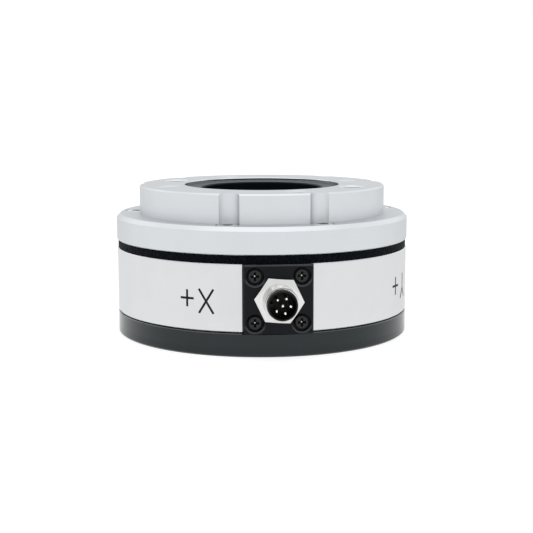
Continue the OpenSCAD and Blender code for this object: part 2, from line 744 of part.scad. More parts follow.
module connector_plate() {
    color(black_anodised) on_connector(plate_back) difference() {
        intersection() {
            linear_extrude(plate_t) plate_outline();
            plate_wedge(plate_w, plate_h);
            rotate([0, 0, 90]) plate_wedge(plate_h, plate_w);
        }
        at_plate_screws() {
            translate([0, 0, -over]) cylinder(d = plate_screw_d + 2 * hole_gap, h = plate_t + over);
            translate([0, 0, plate_seat - plate_back]) cylinder(d = plate_counterbore_d, h = plate_t);
        }
        translate([0, 0, -over]) cylinder(r = rear_r + fit_gap, h = plate_t + 2 * over);
        translate([0, 0, plate_t - face_groove_depth]) difference() {
            cylinder(r = face_groove_r + face_groove_w / 2, h = plate_t);
            translate([0, 0, -over]) cylinder(r = face_groove_r - face_groove_w / 2, h = plate_t + 2 * over);
        }
    }
}

module connector_gasket() {
    color(black_rubber) on_connector(pocket_reach) linear_extrude(plate_gasket_t) difference() {
        plate_outline();
        circle(r = nut_hole_r);
        at_plate_screws() circle(d = plate_screw_d + 2 * hole_gap);
    }
}

module plate_screws() {
    shank = plate_seat - pad_back - tip_gap;
    color(black_steel) on_connector(plate_seat) at_plate_screws()
        cross_screw(plate_screw_d, plate_head_d, plate_head_h, shank);
}

module connector_body() {
    hex_r = hex_af / sqrt(3);
    corner_cut = hex_r - hex_af / 2 + 0.15;
    neck_r = barrel_r - barrel_neck;
    neck_end = hex_face + 2 * barrel_neck;
    color(nickel) on_connector() rotate([0, 0, connector_turn]) difference() {
        union() {
            intersection() {
                translate([0, 0, plate_reach]) cylinder(r = hex_r, h = hex_t, $fn = 6);
                rotate_extrude() polygon([
                    [0, plate_reach], [hex_r + over, plate_reach],
                    [hex_r + over, hex_face - corner_cut / 2 - over / 2], [hex_r - corner_cut, hex_face],
                    [0, hex_face]]);
            }
            rotate_extrude() polygon([
                [0, rear_face], [rear_r, rear_face], [rear_r, plate_reach + hex_t / 2],
                [neck_r, plate_reach + hex_t / 2], [neck_r, neck_end], [barrel_r, neck_end + barrel_neck],
                [barrel_r, barrel_face - barrel_bevel], [barrel_r - barrel_bevel, barrel_face],
                [0, barrel_face]]);
        }
        translate([0, 0, rear_face - over]) cylinder(r = insert_core_r + fit_gap, h = plate_reach);
        translate([0, 0, collar_base]) cylinder(r = collar_r + fit_gap, h = plate_reach);
    }
}

module connector_ring_seal() {
    color(black_rubber) on_connector(plate_reach - face_groove_depth + face_cord_d / 2 + thread_gap)
        cord_ring(face_groove_r, face_cord_d);
}

module connector_insert() {
    key = [0.9, 0.7];
    bevel = 0.3;
    draft = 0.05;
    color(black_plastic) on_connector() rotate([0, 0, connector_turn]) difference() {
        union() {
            difference() {
                rotate_extrude() polygon([
                    [0, rear_face], [insert_core_r, rear_face], [insert_core_r, collar_base],
                    [collar_r, collar_base], [collar_r, barrel_face],
                    [collar_r - draft, collar_face - bevel], [collar_r - bevel, collar_face],
                    [0, collar_face]]);
                translate([0, 0, collar_floor]) cylinder(r = collar_bore_r, h = collar_depth + over);
            }
            translate([-collar_bore_r - draft, -key[1] / 2, collar_floor - draft])
                cube([key[0], key[1], collar_depth - bevel]);
        }
        at_contacts() translate([0, 0, rear_face - over])
            cylinder(d = contact_d + 2 * thread_gap, h = collar_face);
    }
}

// The middle pin and the circle of pins, in the turned frame of the connector
module at_contacts() {
    children();
    for (a = contact_angles) rotate([0, 0, a]) translate([contact_circle_r, 0, 0]) children();
}

module contact_pins() {
    tip = collar_face - contact_inset;
    color(gold) on_connector() rotate([0, 0, connector_turn]) at_contacts()
        rotate_extrude($fn = 24) polygon([
            [0, contact_back], [contact_d / 2, contact_back], [contact_d / 2, tip - contact_d / 2],
            [contact_d * 0.42, tip - contact_d * 0.2], [contact_d / 4, tip], [0, tip]]);
}

module connector_nut() {
    color(nickel) on_connector(plate_back - nut_t) difference() {
        cylinder(r = nut_af / sqrt(3), h = nut_t, $fn = 6);
        translate([0, 0, -over]) cylinder(r = rear_r + thread_gap, h = nut_t + 2 * over);
    }
}

// ---- electronics ----

module amplifier_board() {
    flat_w = 2 * header_size[0];
    color(board_green) translate([0, 0, board_z]) linear_extrude(board_t) difference() {
        circle(r = board_out_r);
        circle(r = board_in_r);
        translate([-flat_w / 2, -board_flat - board_out_r]) square([flat_w, board_out_r]);
        for (a = standoff_angles) rotate([0, 0, a]) translate([0, -board_mid_r])
            circle(d = board_screw_d + 2 * hole_gap);
    }
}

module board_standoffs() {
    color(steel) for (a = standoff_angles) at_angle(a, board_mid_r, step_z) difference() {
        cylinder(d = standoff_d, h = standoff_h);
        translate([0, 0, -over]) cylinder(d = board_screw_d + 2 * hole_gap, h = standoff_h + 2 * over);
    }
}

module board_screws() {
    color(steel) for (a = standoff_angles) at_angle(a, board_mid_r, board_top)
        cross_screw(board_screw_d, standoff_d, board_head_h, board_screw_l);
}

module converter_chips() {
    color(chip_black) for (a = beam_angles) at_angle(a, board_mid_r, board_top)
        leaded_chip(converter_size, 8);
}

// Square chip whose leads span the board, but for its bare edges
module processor_chip() {
    span = board_out_r - board_in_r - 2 * board_land;
    side = span - 2 * lead_reach;
    pitch = side / 8;
    color(chip_black) at_angle(120, board_mid_r, board_top) {
        translate([-side / 2, -side / 2, chip_lift]) cube([side, side, processor_h - chip_lift]);
        for (turn = [0, 90]) rotate([0, 0, turn]) for (i = [-3 : 3])
            translate([i * pitch - pitch / 4, -span / 2, 0]) cube([pitch / 2, span, lead_w]);
    }
}

module transceiver_chip() {
    color(chip_black) at_angle(-90, board_mid_r, board_top) leaded_chip(transceiver_size, 4);
}

module regulator_chip() {
    color(chip_black) at_angle(-120, board_mid_r, board_top) leaded_chip(regulator_size, 3);
}

// Groups of three between the chips and the spacers
module board_passives() {
    color(ceramic) for (start = [20, 76, 94, 150, 196, 254], i = [0 : 2])
        at_angle(start + i * passive_step, board_mid_r, board_top)
            translate([-passive_size[0] / 2, -passive_size[1] / 2, 0]) cube(passive_size);
}

module signal_header() {
    tray = header_size - [2 * header_wall, 2 * header_wall, 2 * header_wall];
    color(black_plastic) translate([-header_size[0] / 2, -header_reach, board_top]) difference() {
        cube(header_size);
        translate([header_wall, header_wall, tray[2]]) cube(tray);
    }
}

// Each wire runs from a pin's solder end to its place along the header, in order from -X to +X
module signal_wires() {
    order = [0, 4, 5, 1, 3, 2];
    slack = [0, 2, 0];
    pin_places = concat([for (a = contact_angles) let (t = a + connector_turn)
        [contact_circle_r * cos(t), -contact_back, plate_z + contact_circle_r * sin(t)]],
        [[0, -contact_back, plate_z]]);
    count = len(order);
    pitch = (header_size[0] - 2 * header_wall) / count;
    color(wire_red) for (i = [0 : count - 1])
        wire(pin_places[order[i]], slack,
            [(i - (count - 1) / 2) * pitch, -header_reach, board_top + header_size[2] / 2], slack,
            signal_wire_d, 8, [1, 0, 0.02]);
}

// Four wires from each beam's lower gauge to the board's edge beyond the beam's converter
module gauge_wires() {
    gauge_pitch = 1.5 * gauge_wire_d;
    board_pitch = 2.25 * gauge_wire_d;
    board_end = board_mid_r + converter_size[1] / 2 + lead_reach + board_gap - lead_w;
    drop = ring_z - board_top;
    color(wire_red) for (a = beam_angles) at_angle(a, 0) for (i = [0 : 3])
        wire([(i - 1.5) * gauge_pitch, -beam_r, ring_z - gauge_size[2]], [0, 0, -drop * 0.31],
            [(i - 1.5) * board_pitch, -board_end, board_top], [0, 0, -drop * 0.36],
            gauge_wire_d, 6, [1, 0.02, 0]);
}

base_plate();
body_shell();
base_gasket();
flange_seal();
tool_flange();
flange_screws();
centre_cap();
cap_ring_seal();
sensing_element();
strain_gauges();
hub_screws();
hub_pins();
base_screws();
connector_plate();
connector_gasket();
plate_screws();
connector_body();
connector_ring_seal();
connector_insert();
contact_pins();
connector_nut();
amplifier_board();
board_standoffs();
board_screws();
converter_chips();
processor_chip();
transceiver_chip();
regulator_chip();
board_passives();
signal_header();
signal_wires();
gauge_wires();
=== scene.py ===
"""Looks of the force torque sensor: finishes, axis marks and the connector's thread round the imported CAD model.

Lengths on the object are written in millimetres and turned into metres by MM; those of the stage are in metres.
Angles round the sensor are measured in degrees from the connector, which points along -Y, towards +X.
"""
import json
import math

import bpy
from mathutils import Matrix, Vector


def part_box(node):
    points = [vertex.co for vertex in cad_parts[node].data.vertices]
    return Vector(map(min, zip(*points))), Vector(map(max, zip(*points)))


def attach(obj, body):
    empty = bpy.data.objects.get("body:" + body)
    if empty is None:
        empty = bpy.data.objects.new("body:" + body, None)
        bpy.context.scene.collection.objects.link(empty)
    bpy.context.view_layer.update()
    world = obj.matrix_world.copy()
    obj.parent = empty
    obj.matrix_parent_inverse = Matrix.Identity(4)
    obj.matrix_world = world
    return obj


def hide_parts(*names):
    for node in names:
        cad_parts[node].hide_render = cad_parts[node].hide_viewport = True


MM = 0.001

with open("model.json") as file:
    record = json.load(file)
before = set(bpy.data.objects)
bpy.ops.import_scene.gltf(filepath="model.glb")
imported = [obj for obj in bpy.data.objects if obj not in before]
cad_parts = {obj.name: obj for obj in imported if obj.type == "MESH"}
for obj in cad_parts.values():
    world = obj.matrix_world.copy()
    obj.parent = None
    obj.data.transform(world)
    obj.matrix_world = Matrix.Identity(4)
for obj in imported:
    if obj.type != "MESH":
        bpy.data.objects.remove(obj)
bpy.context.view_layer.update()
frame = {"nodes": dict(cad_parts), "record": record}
nodes = frame["nodes"]


# ---- sizes taken from the frame ----

shell_low, shell_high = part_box("body_shell")
cap_low, cap_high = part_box("centre_cap")
plate_low, plate_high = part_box("connector_plate")
connector_low, connector_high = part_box("connector_body")
insert_low, insert_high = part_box("connector_insert")

BODY_R = (shell_high.x - shell_low.x) / 2
BASE_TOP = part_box("base_gasket")[0].z
CAP_R = (cap_high.x - cap_low.x) / 2
INSERT_R = insert_high.x
CONNECTOR_Z = (plate_low.z + plate_high.z) / 2
SCREW_HEAD_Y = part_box("plate_screws")[0].y

# How far out from the sensor's axis the faces of the connector and its plate lie
PLATE_FACE = -plate_low.y
BARREL_FACE = -connector_low.y
REAR_FACE = -connector_high.y
INSERT_FACE = -insert_low.y


# ---- sizes that repeat those of the CAD model, and those of the thread ----

PLATE_SCREW_IN = 2.7 * MM
COUNTERBORE_R = 2.15 * MM
PLATE_SCREW_X = plate_high.x - PLATE_SCREW_IN
PLATE_SCREW_Z = (plate_high.z - plate_low.z) / 2 - PLATE_SCREW_IN

CONNECTOR_TURN = math.radians(-4.5)
HEX_THICK = 2.0 * MM
HEX_SLOPE = 0.5
HEX_LAND = 0.15 * MM
HEX_FACE = PLATE_FACE + HEX_THICK
HEX_CORNER_R = (connector_high.x - connector_low.x) / 2 / math.cos(CONNECTOR_TURN)
HEX_FLAT_R = HEX_CORNER_R * math.cos(math.pi / 6)
BARREL_R = 4.0 * MM
BORE_R = 3.6 * MM
REAR_R = 3.3 * MM
REAR_BORE_R = 2.65 * MM
COLLAR_REACH = 5.6 * MM

THREAD_PITCH = 1.0 * MM
THREAD_DEPTH = 0.34 * MM
THREAD_START = 0.9 * MM
THREAD_RUN_IN = 0.5 * MM
THREAD_END_BEVEL = 0.25 * MM


# ---- meshes ----

def mesh_piece(name, points, faces, material, smooth_angle=30):
    """A piece of the object that rides on its only body."""
    mesh = bpy.data.meshes.new(name)
    mesh.from_pydata([tuple(p) for p in points], [], faces)
    mesh.validate()
    mesh.shade_smooth()
    mesh.set_sharp_from_angle(angle=math.radians(smooth_angle))
    piece = bpy.data.objects.new(name, mesh)
    bpy.context.scene.collection.objects.link(piece)
    mesh.materials.append(material)
    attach(piece, "root")
    return piece


def closed_skin(rings):
    """Points and faces of a skin over rings of equally many points, of which the last joins the first."""
    count = len(rings[0])
    points = [p for ring in rings for p in ring]
    faces = []
    for i in range(len(rings)):
        j = (i + 1) % len(rings)
        for k in range(count):
            m = (k + 1) % count
            faces.append((i * count + k, i * count + m, j * count + m, j * count + k))
    return points, faces


def on_connector(radius, angle, reach):
    """A point round the connector's axis, at a distance from the sensor's axis."""
    return Vector((radius * math.cos(angle), -reach, CONNECTOR_Z + radius * math.sin(angle)))


# ---- shader nodes ----

def shader_of(tree):
    return tree.nodes["Principled BSDF"]


def math_node(tree, operation, first, second=0.0):
    """A Math node, whose inputs are sockets or numbers."""
    node = tree.nodes.new("ShaderNodeMath")
    node.operation = operation
    for socket, value in zip(node.inputs, (first, second)):
        if isinstance(value, float):
            socket.default_value = value
        else:
            tree.links.new(value, socket)
    return node.outputs["Value"]


def span(tree, value, start, end, low, high):
    """Low up to start, high from end on, and even steps between them."""
    node = tree.nodes.new("ShaderNodeMapRange")
    node.inputs["From Min"].default_value = start
    node.inputs["From Max"].default_value = end
    node.inputs["To Min"].default_value = low
    node.inputs["To Max"].default_value = high
    tree.links.new(value, node.inputs["Value"])
    return node.outputs["Result"]


ZONE_SOFT = 0.02 * MM


def zone(tree, value, low, high):
    """1 between two places along a value, with narrow soft ends."""
    rise = span(tree, value, low - ZONE_SOFT, low, 0, 1)
    fall = span(tree, value, high, high + ZONE_SOFT, 1, 0)
    return math_node(tree, "MULTIPLY", rise, fall)


def own_space(tree):
    """Coordinates in the object's own space, which is the shared frame."""
    return tree.nodes.new("ShaderNodeTexCoord").outputs["Object"]


def along_axis(tree, axis):
    """A coordinate in the object's own space."""
    split = tree.nodes.new("ShaderNodeSeparateXYZ")
    tree.links.new(own_space(tree), split.inputs["Vector"])
    return split.outputs[axis]


def distance(tree, sideways, upwards):
    """Distance from a centre, of which two offsets are given."""
    flat = tree.nodes.new("ShaderNodeCombineXYZ")
    length = tree.nodes.new("ShaderNodeVectorMath")
    length.operation = "LENGTH"
    tree.links.new(sideways, flat.inputs["X"])
    tree.links.new(upwards, flat.inputs["Y"])
    tree.links.new(flat.outputs["Vector"], length.inputs[0])
    return length.outputs["Value"]


def from_axis(tree):
    """Distance from the sensor's axis."""
    return distance(tree, along_axis(tree, "X"), along_axis(tree, "Y"))


def over_connector(tree):
    """Height above the connector's axis."""
    return math_node(tree, "SUBTRACT", along_axis(tree, "Z"), CONNECTOR_Z)


def from_connector(tree):
    """Distance from the connector's axis."""
    return distance(tree, along_axis(tree, "X"), over_connector(tree))


def from_plate_screw(tree):
    """Distance from the axis of the nearest plate screw, and height above it."""
    sideways = math_node(tree, "SUBTRACT", math_node(tree, "ABSOLUTE", along_axis(tree, "X")), PLATE_SCREW_X)
    height = over_connector(tree)
    outwards = math_node(tree, "SUBTRACT", math_node(tree, "ABSOLUTE", height), PLATE_SCREW_Z)
    upwards = math_node(tree, "MULTIPLY", outwards, math_node(tree, "SIGN", height))
    return distance(tree, sideways, upwards), upwards


CLOUD_DETAIL = 3
GRAIN_DETAIL = 2


# Scales of noise are in features per metre

def noise(tree, scale, detail):
    texture = tree.nodes.new("ShaderNodeTexNoise")
    texture.inputs["Scale"].default_value = scale
    texture.inputs["Detail"].default_value = detail
    tree.links.new(own_space(tree), texture.inputs["Vector"])
    return texture.outputs["Fac"]


def clouds(tree, scale):
    return noise(tree, scale, CLOUD_DETAIL)


def grain(tree, scale):
    return noise(tree, scale, GRAIN_DETAIL)


def turning(tree, scale):
    """Noise that runs in rings round the sensor's axis, as a lathe leaves it on flats and walls."""
    texture = tree.nodes.new("ShaderNodeTexNoise")
    texture.noise_dimensions = "1D"
    texture.inputs["Scale"].default_value = scale
    texture.inputs["Detail"].default_value = CLOUD_DETAIL
    tree.links.new(math_node(tree, "ADD", from_axis(tree), along_axis(tree, "Z")), texture.inputs["W"])
    return texture.outputs["Fac"]


def scaled(colour, factor):
    return tuple(channel * factor for channel in colour)


def vary_colour(tree, fac, colour, dark, light):
    """The colour times dark where fac is 0, and times light where it is 1."""
    mix = tree.nodes.new("ShaderNodeMix")
    mix.data_type = "RGBA"
    mix.inputs["A"].default_value = (*scaled(colour, dark), 1)
    mix.inputs["B"].default_value = (*scaled(colour, light), 1)
    tree.links.new(fac, mix.inputs["Factor"])
    tree.links.new(mix.outputs["Result"], shader_of(tree).inputs["Base Color"])


def vary_roughness(tree, fac, roughness, smooth, rough):
    """The roughness times smooth where fac is 0, and times rough where it is 1."""
    varied = span(tree, fac, 0, 1, roughness * smooth, roughness * rough)
    tree.links.new(varied, shader_of(tree).inputs["Roughness"])


def tint_zone(tree, mask, colour):
    """Another colour where the mask is 1, over a colour that varies already."""
    base = shader_of(tree).inputs["Base Color"]
    mix = tree.nodes.new("ShaderNodeMix")
    mix.data_type = "RGBA"
    mix.inputs["B"].default_value = (*colour, 1)
    tree.links.new(base.links[0].from_socket, mix.inputs["A"])
    tree.links.new(mask, mix.inputs["Factor"])
    tree.links.new(mix.outputs["Result"], base)


def add_bump(tree, fac, depth, strength=1.0):
    """Fine relief. Its depth is in metres."""
    bump = tree.nodes.new("ShaderNodeBump")
    bump.inputs["Distance"].default_value = depth
    bump.inputs["Strength"].default_value = strength
    tree.links.new(fac, bump.inputs["Height"])
    tree.links.new(bump.outputs["Normal"], shader_of(tree).inputs["Normal"])


# ---- finishes: what each is made of ----

def principled(name, colour, metallic, roughness, specular=0.5, edge=1.0):
    """A plain material. The edge tints a metal at a flat angle."""
    material = bpy.data.materials.new(name)
    material.use_nodes = True
    shader = shader_of(material.node_tree)
    shader.inputs["Base Color"].default_value = (*colour, 1)
    shader.inputs["Metallic"].default_value = metallic
    shader.inputs["Roughness"].default_value = roughness
    shader.inputs["Specular IOR Level"].default_value = specular
    shader.inputs["Specular Tint"].default_value = (edge, edge, edge, 1)
    return material


def anodised(name, colour, roughness, edge):
    """Blasted and anodised aluminium with a faint turned grain."""
    material = principled(name, colour, 1.0, roughness, edge=edge)
    tree = material.node_tree
    vary_colour(tree, clouds(tree, 160), colour, dark=0.97, light=1.03)
    vary_roughness(tree, turning(tree, 3500), roughness, smooth=0.88, rough=1.12)
    add_bump(tree, grain(tree, 9000), depth=2e-6, strength=0.6)
    return material


def black_anodised(name, colour, roughness, specular):
    """Turned and black anodised aluminium."""
    material = principled(name, colour, 0.0, roughness, specular)
    tree = material.node_tree
    vary_colour(tree, clouds(tree, 300), colour, dark=0.8, light=1.25)
    vary_roughness(tree, turning(tree, 3000), roughness, smooth=0.85, rough=1.15)
    add_bump(tree, grain(tree, 8000), depth=2e-6, strength=0.6)
    return material


def metal(name, colour, roughness):
    """Bare or plated metal."""
    material = principled(name, colour, 1.0, roughness)
    tree = material.node_tree
    vary_colour(tree, clouds(tree, 700), colour, dark=0.94, light=1.04)
    vary_roughness(tree, clouds(tree, 1500), roughness, smooth=0.75, rough=1.3)
    add_bump(tree, grain(tree, 5000), depth=1.5e-6)
    return material


def moulded(name, colour, roughness, specular=0.5):
    """Plastic, rubber, film or paint."""
    material = principled(name, colour, 0.0, roughness, specular)
    tree = material.node_tree
    patches = clouds(tree, 900)
    vary_colour(tree, patches, colour, dark=0.85, light=1.2)
    vary_roughness(tree, patches, roughness, smooth=0.85, rough=1.15)
    add_bump(tree, grain(tree, 6000), depth=3e-6)
    return material


PORE_SCALE = 1700
PORE_DEPTH = 0.3 * MM


def foam(name, colour, roughness, specular):
    """Closed-cell foam: matt, with fine pores."""
    material = principled(name, colour, 0.0, roughness, specular)
    tree = material.node_tree
    pores = tree.nodes.new("ShaderNodeTexVoronoi")
    pores.inputs["Scale"].default_value = PORE_SCALE
    tree.links.new(own_space(tree), pores.inputs["Vector"])
    vary_colour(tree, pores.outputs["Distance"], colour, dark=0.05, light=4.4)
    add_bump(tree, pores.outputs["Distance"], PORE_DEPTH)
    return material


# ---- finishes: what turning and wear have done to them, and painted highlights and shade ----

# The seat of the cap, turned smooth: its width beyond the cap, its soft edge, and the share of roughness it keeps
SEAT_FIT = 0.1 * MM
SEAT_EDGE = (0.02 * MM, 0.08 * MM)
SEAT_SMOOTH = 0.25


def flange_anodised(name, colour, roughness, edge):
    """Anodised like the housing, with the cap's seat turned smooth."""
    material = anodised(name, colour, roughness, edge)
    tree = material.node_tree
    rough = shader_of(tree).inputs["Roughness"]
    seat_r = CAP_R + SEAT_FIT
    share = span(tree, from_axis(tree), seat_r + SEAT_EDGE[0], seat_r + SEAT_EDGE[1], SEAT_SMOOTH, 1)
    tree.links.new(math_node(tree, "MULTIPLY", rough.links[0].from_socket, share), rough)
    return material


# Painted highlight along upper bevels, broken into patches: their size, the noise levels between which they fade,
# and how much of the tint the faintest ones show
HIGHLIGHT_PATCH_SCALE = 250
HIGHLIGHT_PATCHES = (0.3, 0.6)
HIGHLIGHT_LEAST = 0.7


def paint_bevel_highlight(tree, top, width, colour):
    """A painted highlight on a bevel, where light from above would catch it: a lighter band below the given
    height, in patches.
    """
    band = zone(tree, along_axis(tree, "Z"), top - width, top)
    patches = span(tree, clouds(tree, HIGHLIGHT_PATCH_SCALE), *HIGHLIGHT_PATCHES, HIGHLIGHT_LEAST, 1)
    tint_zone(tree, math_node(tree, "MULTIPLY", band, patches), colour)


# Painted highlights on the counterbores' lower rims, where light from above would catch them: the width of the
# rim, and the heights from the screw's axis between which the highlight fades out
RIM_WIDTH = 0.4 * MM
RIM_FADE = (-1.3 * MM, -0.3 * MM)


def paint_counterbore_highlights(tree, colour):
    """Painted highlights on the lower rims of the plate's counterbores, fading out upwards."""
    away, upwards = from_plate_screw(tree)
    rim = zone(tree, away, COUNTERBORE_R, COUNTERBORE_R + RIM_WIDTH)
    lower = span(tree, upwards, *RIM_FADE, 1, 0)
    # painted highlight: the lower part of each counterbore's rim is made lighter
    tint_zone(tree, math_node(tree, "MULTIPLY", rim, lower), colour)


BASE_BEVEL = 0.18 * MM
PLATE_BEVEL = 0.3 * MM


def base_anodised(name, colour, roughness, specular, highlight_colour):
    """The base's black, with a painted highlight on its upper bevel."""
    material = black_anodised(name, colour, roughness, specular)
    paint_bevel_highlight(material.node_tree, BASE_TOP, BASE_BEVEL, highlight_colour)
    return material


def plate_anodised(name, colour, roughness, specular, highlight_colour):
    """The connector plate's black, with painted highlights on its upper bevel and on the lower rims of its
    counterbores.
    """
    material = black_anodised(name, colour, roughness, specular)
    paint_bevel_highlight(material.node_tree, plate_high.z, PLATE_BEVEL, highlight_colour)
    paint_counterbore_highlights(material.node_tree, highlight_colour)
    return material


# Depths behind the face of a screw's head: where its polish ends, and where the floor of its recess begins
POLISH_ENDS = (0.04 * MM, 0.15 * MM)
RECESS_FLOOR = (0.6 * MM, 0.7 * MM)

# Bare steel on that floor: its radius, its colour, and by how much it is smoother
BARE_EDGE = (0.1 * MM, 0.22 * MM)
BARE_STEEL = (0.7, 0.7, 0.69)
BARE_SMOOTHER = 0.7


def blackened_heads(name, colour, roughness, specular):
    """Blackened screws: polished on the head's face, matt elsewhere, and bared by the driver in the recess."""
    material = principled(name, colour, 0.0, roughness, specular)
    tree = material.node_tree
    vary_colour(tree, clouds(tree, 900), colour, dark=0.8, light=1.25)
    add_bump(tree, grain(tree, 6000), depth=2e-6)
    back = along_axis(tree, "Y")
    matt = span(tree, back, SCREW_HEAD_Y + POLISH_ENDS[0], SCREW_HEAD_Y + POLISH_ENDS[1], roughness, 1)
    floor = span(tree, back, SCREW_HEAD_Y + RECESS_FLOOR[0], SCREW_HEAD_Y + RECESS_FLOOR[1], 0, 1)
    away, _ = from_plate_screw(tree)
    bare = math_node(tree, "MULTIPLY", floor, span(tree, away, *BARE_EDGE, 1, 0))
    tint_zone(tree, bare, BARE_STEEL)
    tree.links.new(bare, shader_of(tree).inputs["Metallic"])
    rough = math_node(tree, "SUBTRACT", matt, math_node(tree, "MULTIPLY", bare, BARE_SMOOTHER))
    tree.links.new(rough, shader_of(tree).inputs["Roughness"])
    return material


# Painted light on the collar's outer wall, grey all round: depths under it between which the grey comes in
COLLAR_WALL = (0.12 * MM, 0.04 * MM)
COLLAR_PAINTED_LIGHT = (0.045, 0.045, 0.047)


def insert_moulding(name, colour, roughness, specular):
    """Black moulding with painted light on its outer wall, which is grey all round."""
    material = moulded(name, colour, roughness, specular)
    tree = material.node_tree
    painted_wall = span(tree, from_connector(tree), INSERT_R - COLLAR_WALL[0], INSERT_R - COLLAR_WALL[1], 0, 1)
    # painted light: the collar's outer wall is made grey
    tint_zone(tree, painted_wall, COLLAR_PAINTED_LIGHT)
    return material


# The thread's grooves, darkened with painted shade: depths under the crest between which the shade comes in, the
# share of the colour they keep, and the margins that keep the shade off the bore's wall, the bevel in front and
# the hexagon behind
GROOVE_SHADE_DEPTHS = (0.14 * MM, 0.04 * MM)
GROOVE_SHADE_SHARE = 0.25
BORE_MARGIN = (0.01 * MM, 0.03 * MM)
BEVEL_MARGIN = 0.04 * MM
HEX_MARGIN = 0.1 * MM


def thread_nickel(name, colour, roughness):
    """Nickel plate, with painted shade down in the grooves of the barrel's thread."""
    material = metal(name, colour, roughness)
    tree = material.node_tree
    away = from_connector(tree)
    groove = span(tree, away, BARREL_R - GROOVE_SHADE_DEPTHS[0], BARREL_R - GROOVE_SHADE_DEPTHS[1], 1, 0)
    outside = span(tree, away, BORE_R + BORE_MARGIN[0], BORE_R + BORE_MARGIN[1], 0, 1)
    threaded = zone(tree, along_axis(tree, "Y"), BEVEL_MARGIN + THREAD_END_BEVEL - BARREL_FACE,
                    -PLATE_FACE - HEX_THICK - HEX_MARGIN)
    mask = math_node(tree, "MULTIPLY", math_node(tree, "MULTIPLY", groove, outside), threaded)
    # painted shade: the thread's grooves are made darker
    tint_zone(tree, mask, scaled(colour, GROOVE_SHADE_SHARE))
    return material


# ---- materials of the nodes ----

DEEP_BLACK = (0.012, 0.012, 0.013)

MATERIALS = {
    "silver_anodised": anodised("silver_anodised", (0.70, 0.71, 0.72), 0.46, 0.84),
    "flange_anodised": flange_anodised("flange_anodised", (0.675, 0.70, 0.72), 0.46, 0.71),
    # base_black and plate_black end with the colour of their painted highlights
    "base_black": base_anodised("base_black", (0.0035, 0.0105, 0.0135), 0.15, 0.4, (0.09, 0.10, 0.105)),
    "plate_black": plate_anodised("plate_black", (0.002, 0.0034, 0.0062), 0.34, 0.16, (0.06, 0.064, 0.07)),
    "cap_black": black_anodised("cap_black", (0.0025, 0.005, 0.008), 0.36, 0.07),
    "element_alloy": metal("element_alloy", (0.66, 0.67, 0.69), 0.35),
    "screw_steel": metal("screw_steel", (0.62, 0.62, 0.63), 0.25),
    "black_steel": moulded("black_steel", DEEP_BLACK, 0.32),
    "head_black": blackened_heads("head_black", (0.0025, 0.0028, 0.003), 0.3, 0.4),
    "insert_black": insert_moulding("insert_black", (0.002, 0.002, 0.002), 0.4, 0.14),
    "pin_plating": metal("pin_plating", (0.95, 0.93, 0.88), 0.15),
    "nickel": thread_nickel("nickel", (0.69, 0.69, 0.685), 0.12),
    "black_plastic": moulded("black_plastic", DEEP_BLACK, 0.4),
    "black_rubber": moulded("black_rubber", DEEP_BLACK, 0.7),
    "seal_foam": foam("seal_foam", (0.0016, 0.0022, 0.0035), 0.6, 0.03),
    "board": moulded("board", (0.03, 0.16, 0.08), 0.35),
    "chip_plastic": moulded("chip_plastic", (0.03, 0.03, 0.03), 0.5),
    "ceramic": moulded("ceramic", (0.55, 0.44, 0.32), 0.55),
    "gauge_film": moulded("gauge_film", (0.6, 0.33, 0.08), 0.25),
    "wire_jacket": moulded("wire_jacket", (0.4, 0.03, 0.03), 0.35),
    "mark_ink": moulded("mark_ink", (0.01, 0.0105, 0.0115), 0.6, 0.2),
}

# Nodes whose finish differs from that of their slot in the record
OWN_FINISH = {
    "base_plate": "base_black",
    "base_gasket": "seal_foam",
    "flange_seal": "seal_foam",
    "tool_flange": "flange_anodised",
    "centre_cap": "cap_black",
    "connector_plate": "plate_black",
    "plate_screws": "head_black",
    "connector_insert": "insert_black",
    "contact_pins": "pin_plating",
}


def dress_nodes():
    """Every CAD node takes its own finish, or else that of its slot in the record."""
    for part in frame["record"]["subparts"]:
        node = nodes[part["node"]]
        finish = OWN_FINISH.get(part["node"], part["material_slot"])
        node.data.materials.clear()
        node.data.materials.append(MATERIALS[finish])


# ---- camera, light and stage ----

# In millimetres and degrees, as fitted to the photo. The azimuth says where the camera stands, from the connector
# towards +X. It looks at the sensor's axis, turned aside by the aim and down by the pitch.
CAMERA_DISTANCE = 312.3
CAMERA_HEIGHT = 63.05
CAMERA_AZIMUTH = -5.85
CAMERA_PITCH = 8.58
CAMERA_AIM = 0.22
CAMERA_ROLL = -0.09
CAMERA_LENS = 81.1
CAMERA_SENSOR = 36
CAMERA_CLIP = 10 * MM


def add_camera():
    """The photo's camera."""
    data = bpy.data.cameras.new("camera")
    data.lens = CAMERA_LENS
    data.sensor_width = CAMERA_SENSOR
    data.clip_start = CAMERA_CLIP
    camera = bpy.data.objects.new("camera", data)
    bpy.context.scene.collection.objects.link(camera)
    turn = math.radians(CAMERA_AZIMUTH)
    place = Vector((math.sin(turn) * CAMERA_DISTANCE, -math.cos(turn) * CAMERA_DISTANCE, CAMERA_HEIGHT)) * MM
    heading = Matrix.Rotation(math.radians(CAMERA_AZIMUTH - CAMERA_AIM), 4, "Z")
    tilt = Matrix.Rotation(math.radians(90 - CAMERA_PITCH), 4, "X")
    roll = Matrix.Rotation(math.radians(CAMERA_ROLL), 4, "Z")
    camera.matrix_world = Matrix.Translation(place) @ heading @ tilt @ roll
    bpy.context.scene.camera = camera


LAMP_AIM = Vector((0, 0, 0.02))

# Name, place, size, and brightness of the surface
LAMPS = [
    ("overhead", (0, -0.1, 1.0), (1.2, 0.8), 0.54),
    ("back_left", (-0.9, 0.9, 0.75), (0.8, 0.8), 0.5),
    ("back_right", (0.9, 0.9, 0.75), (0.8, 0.8), 0.5),
]


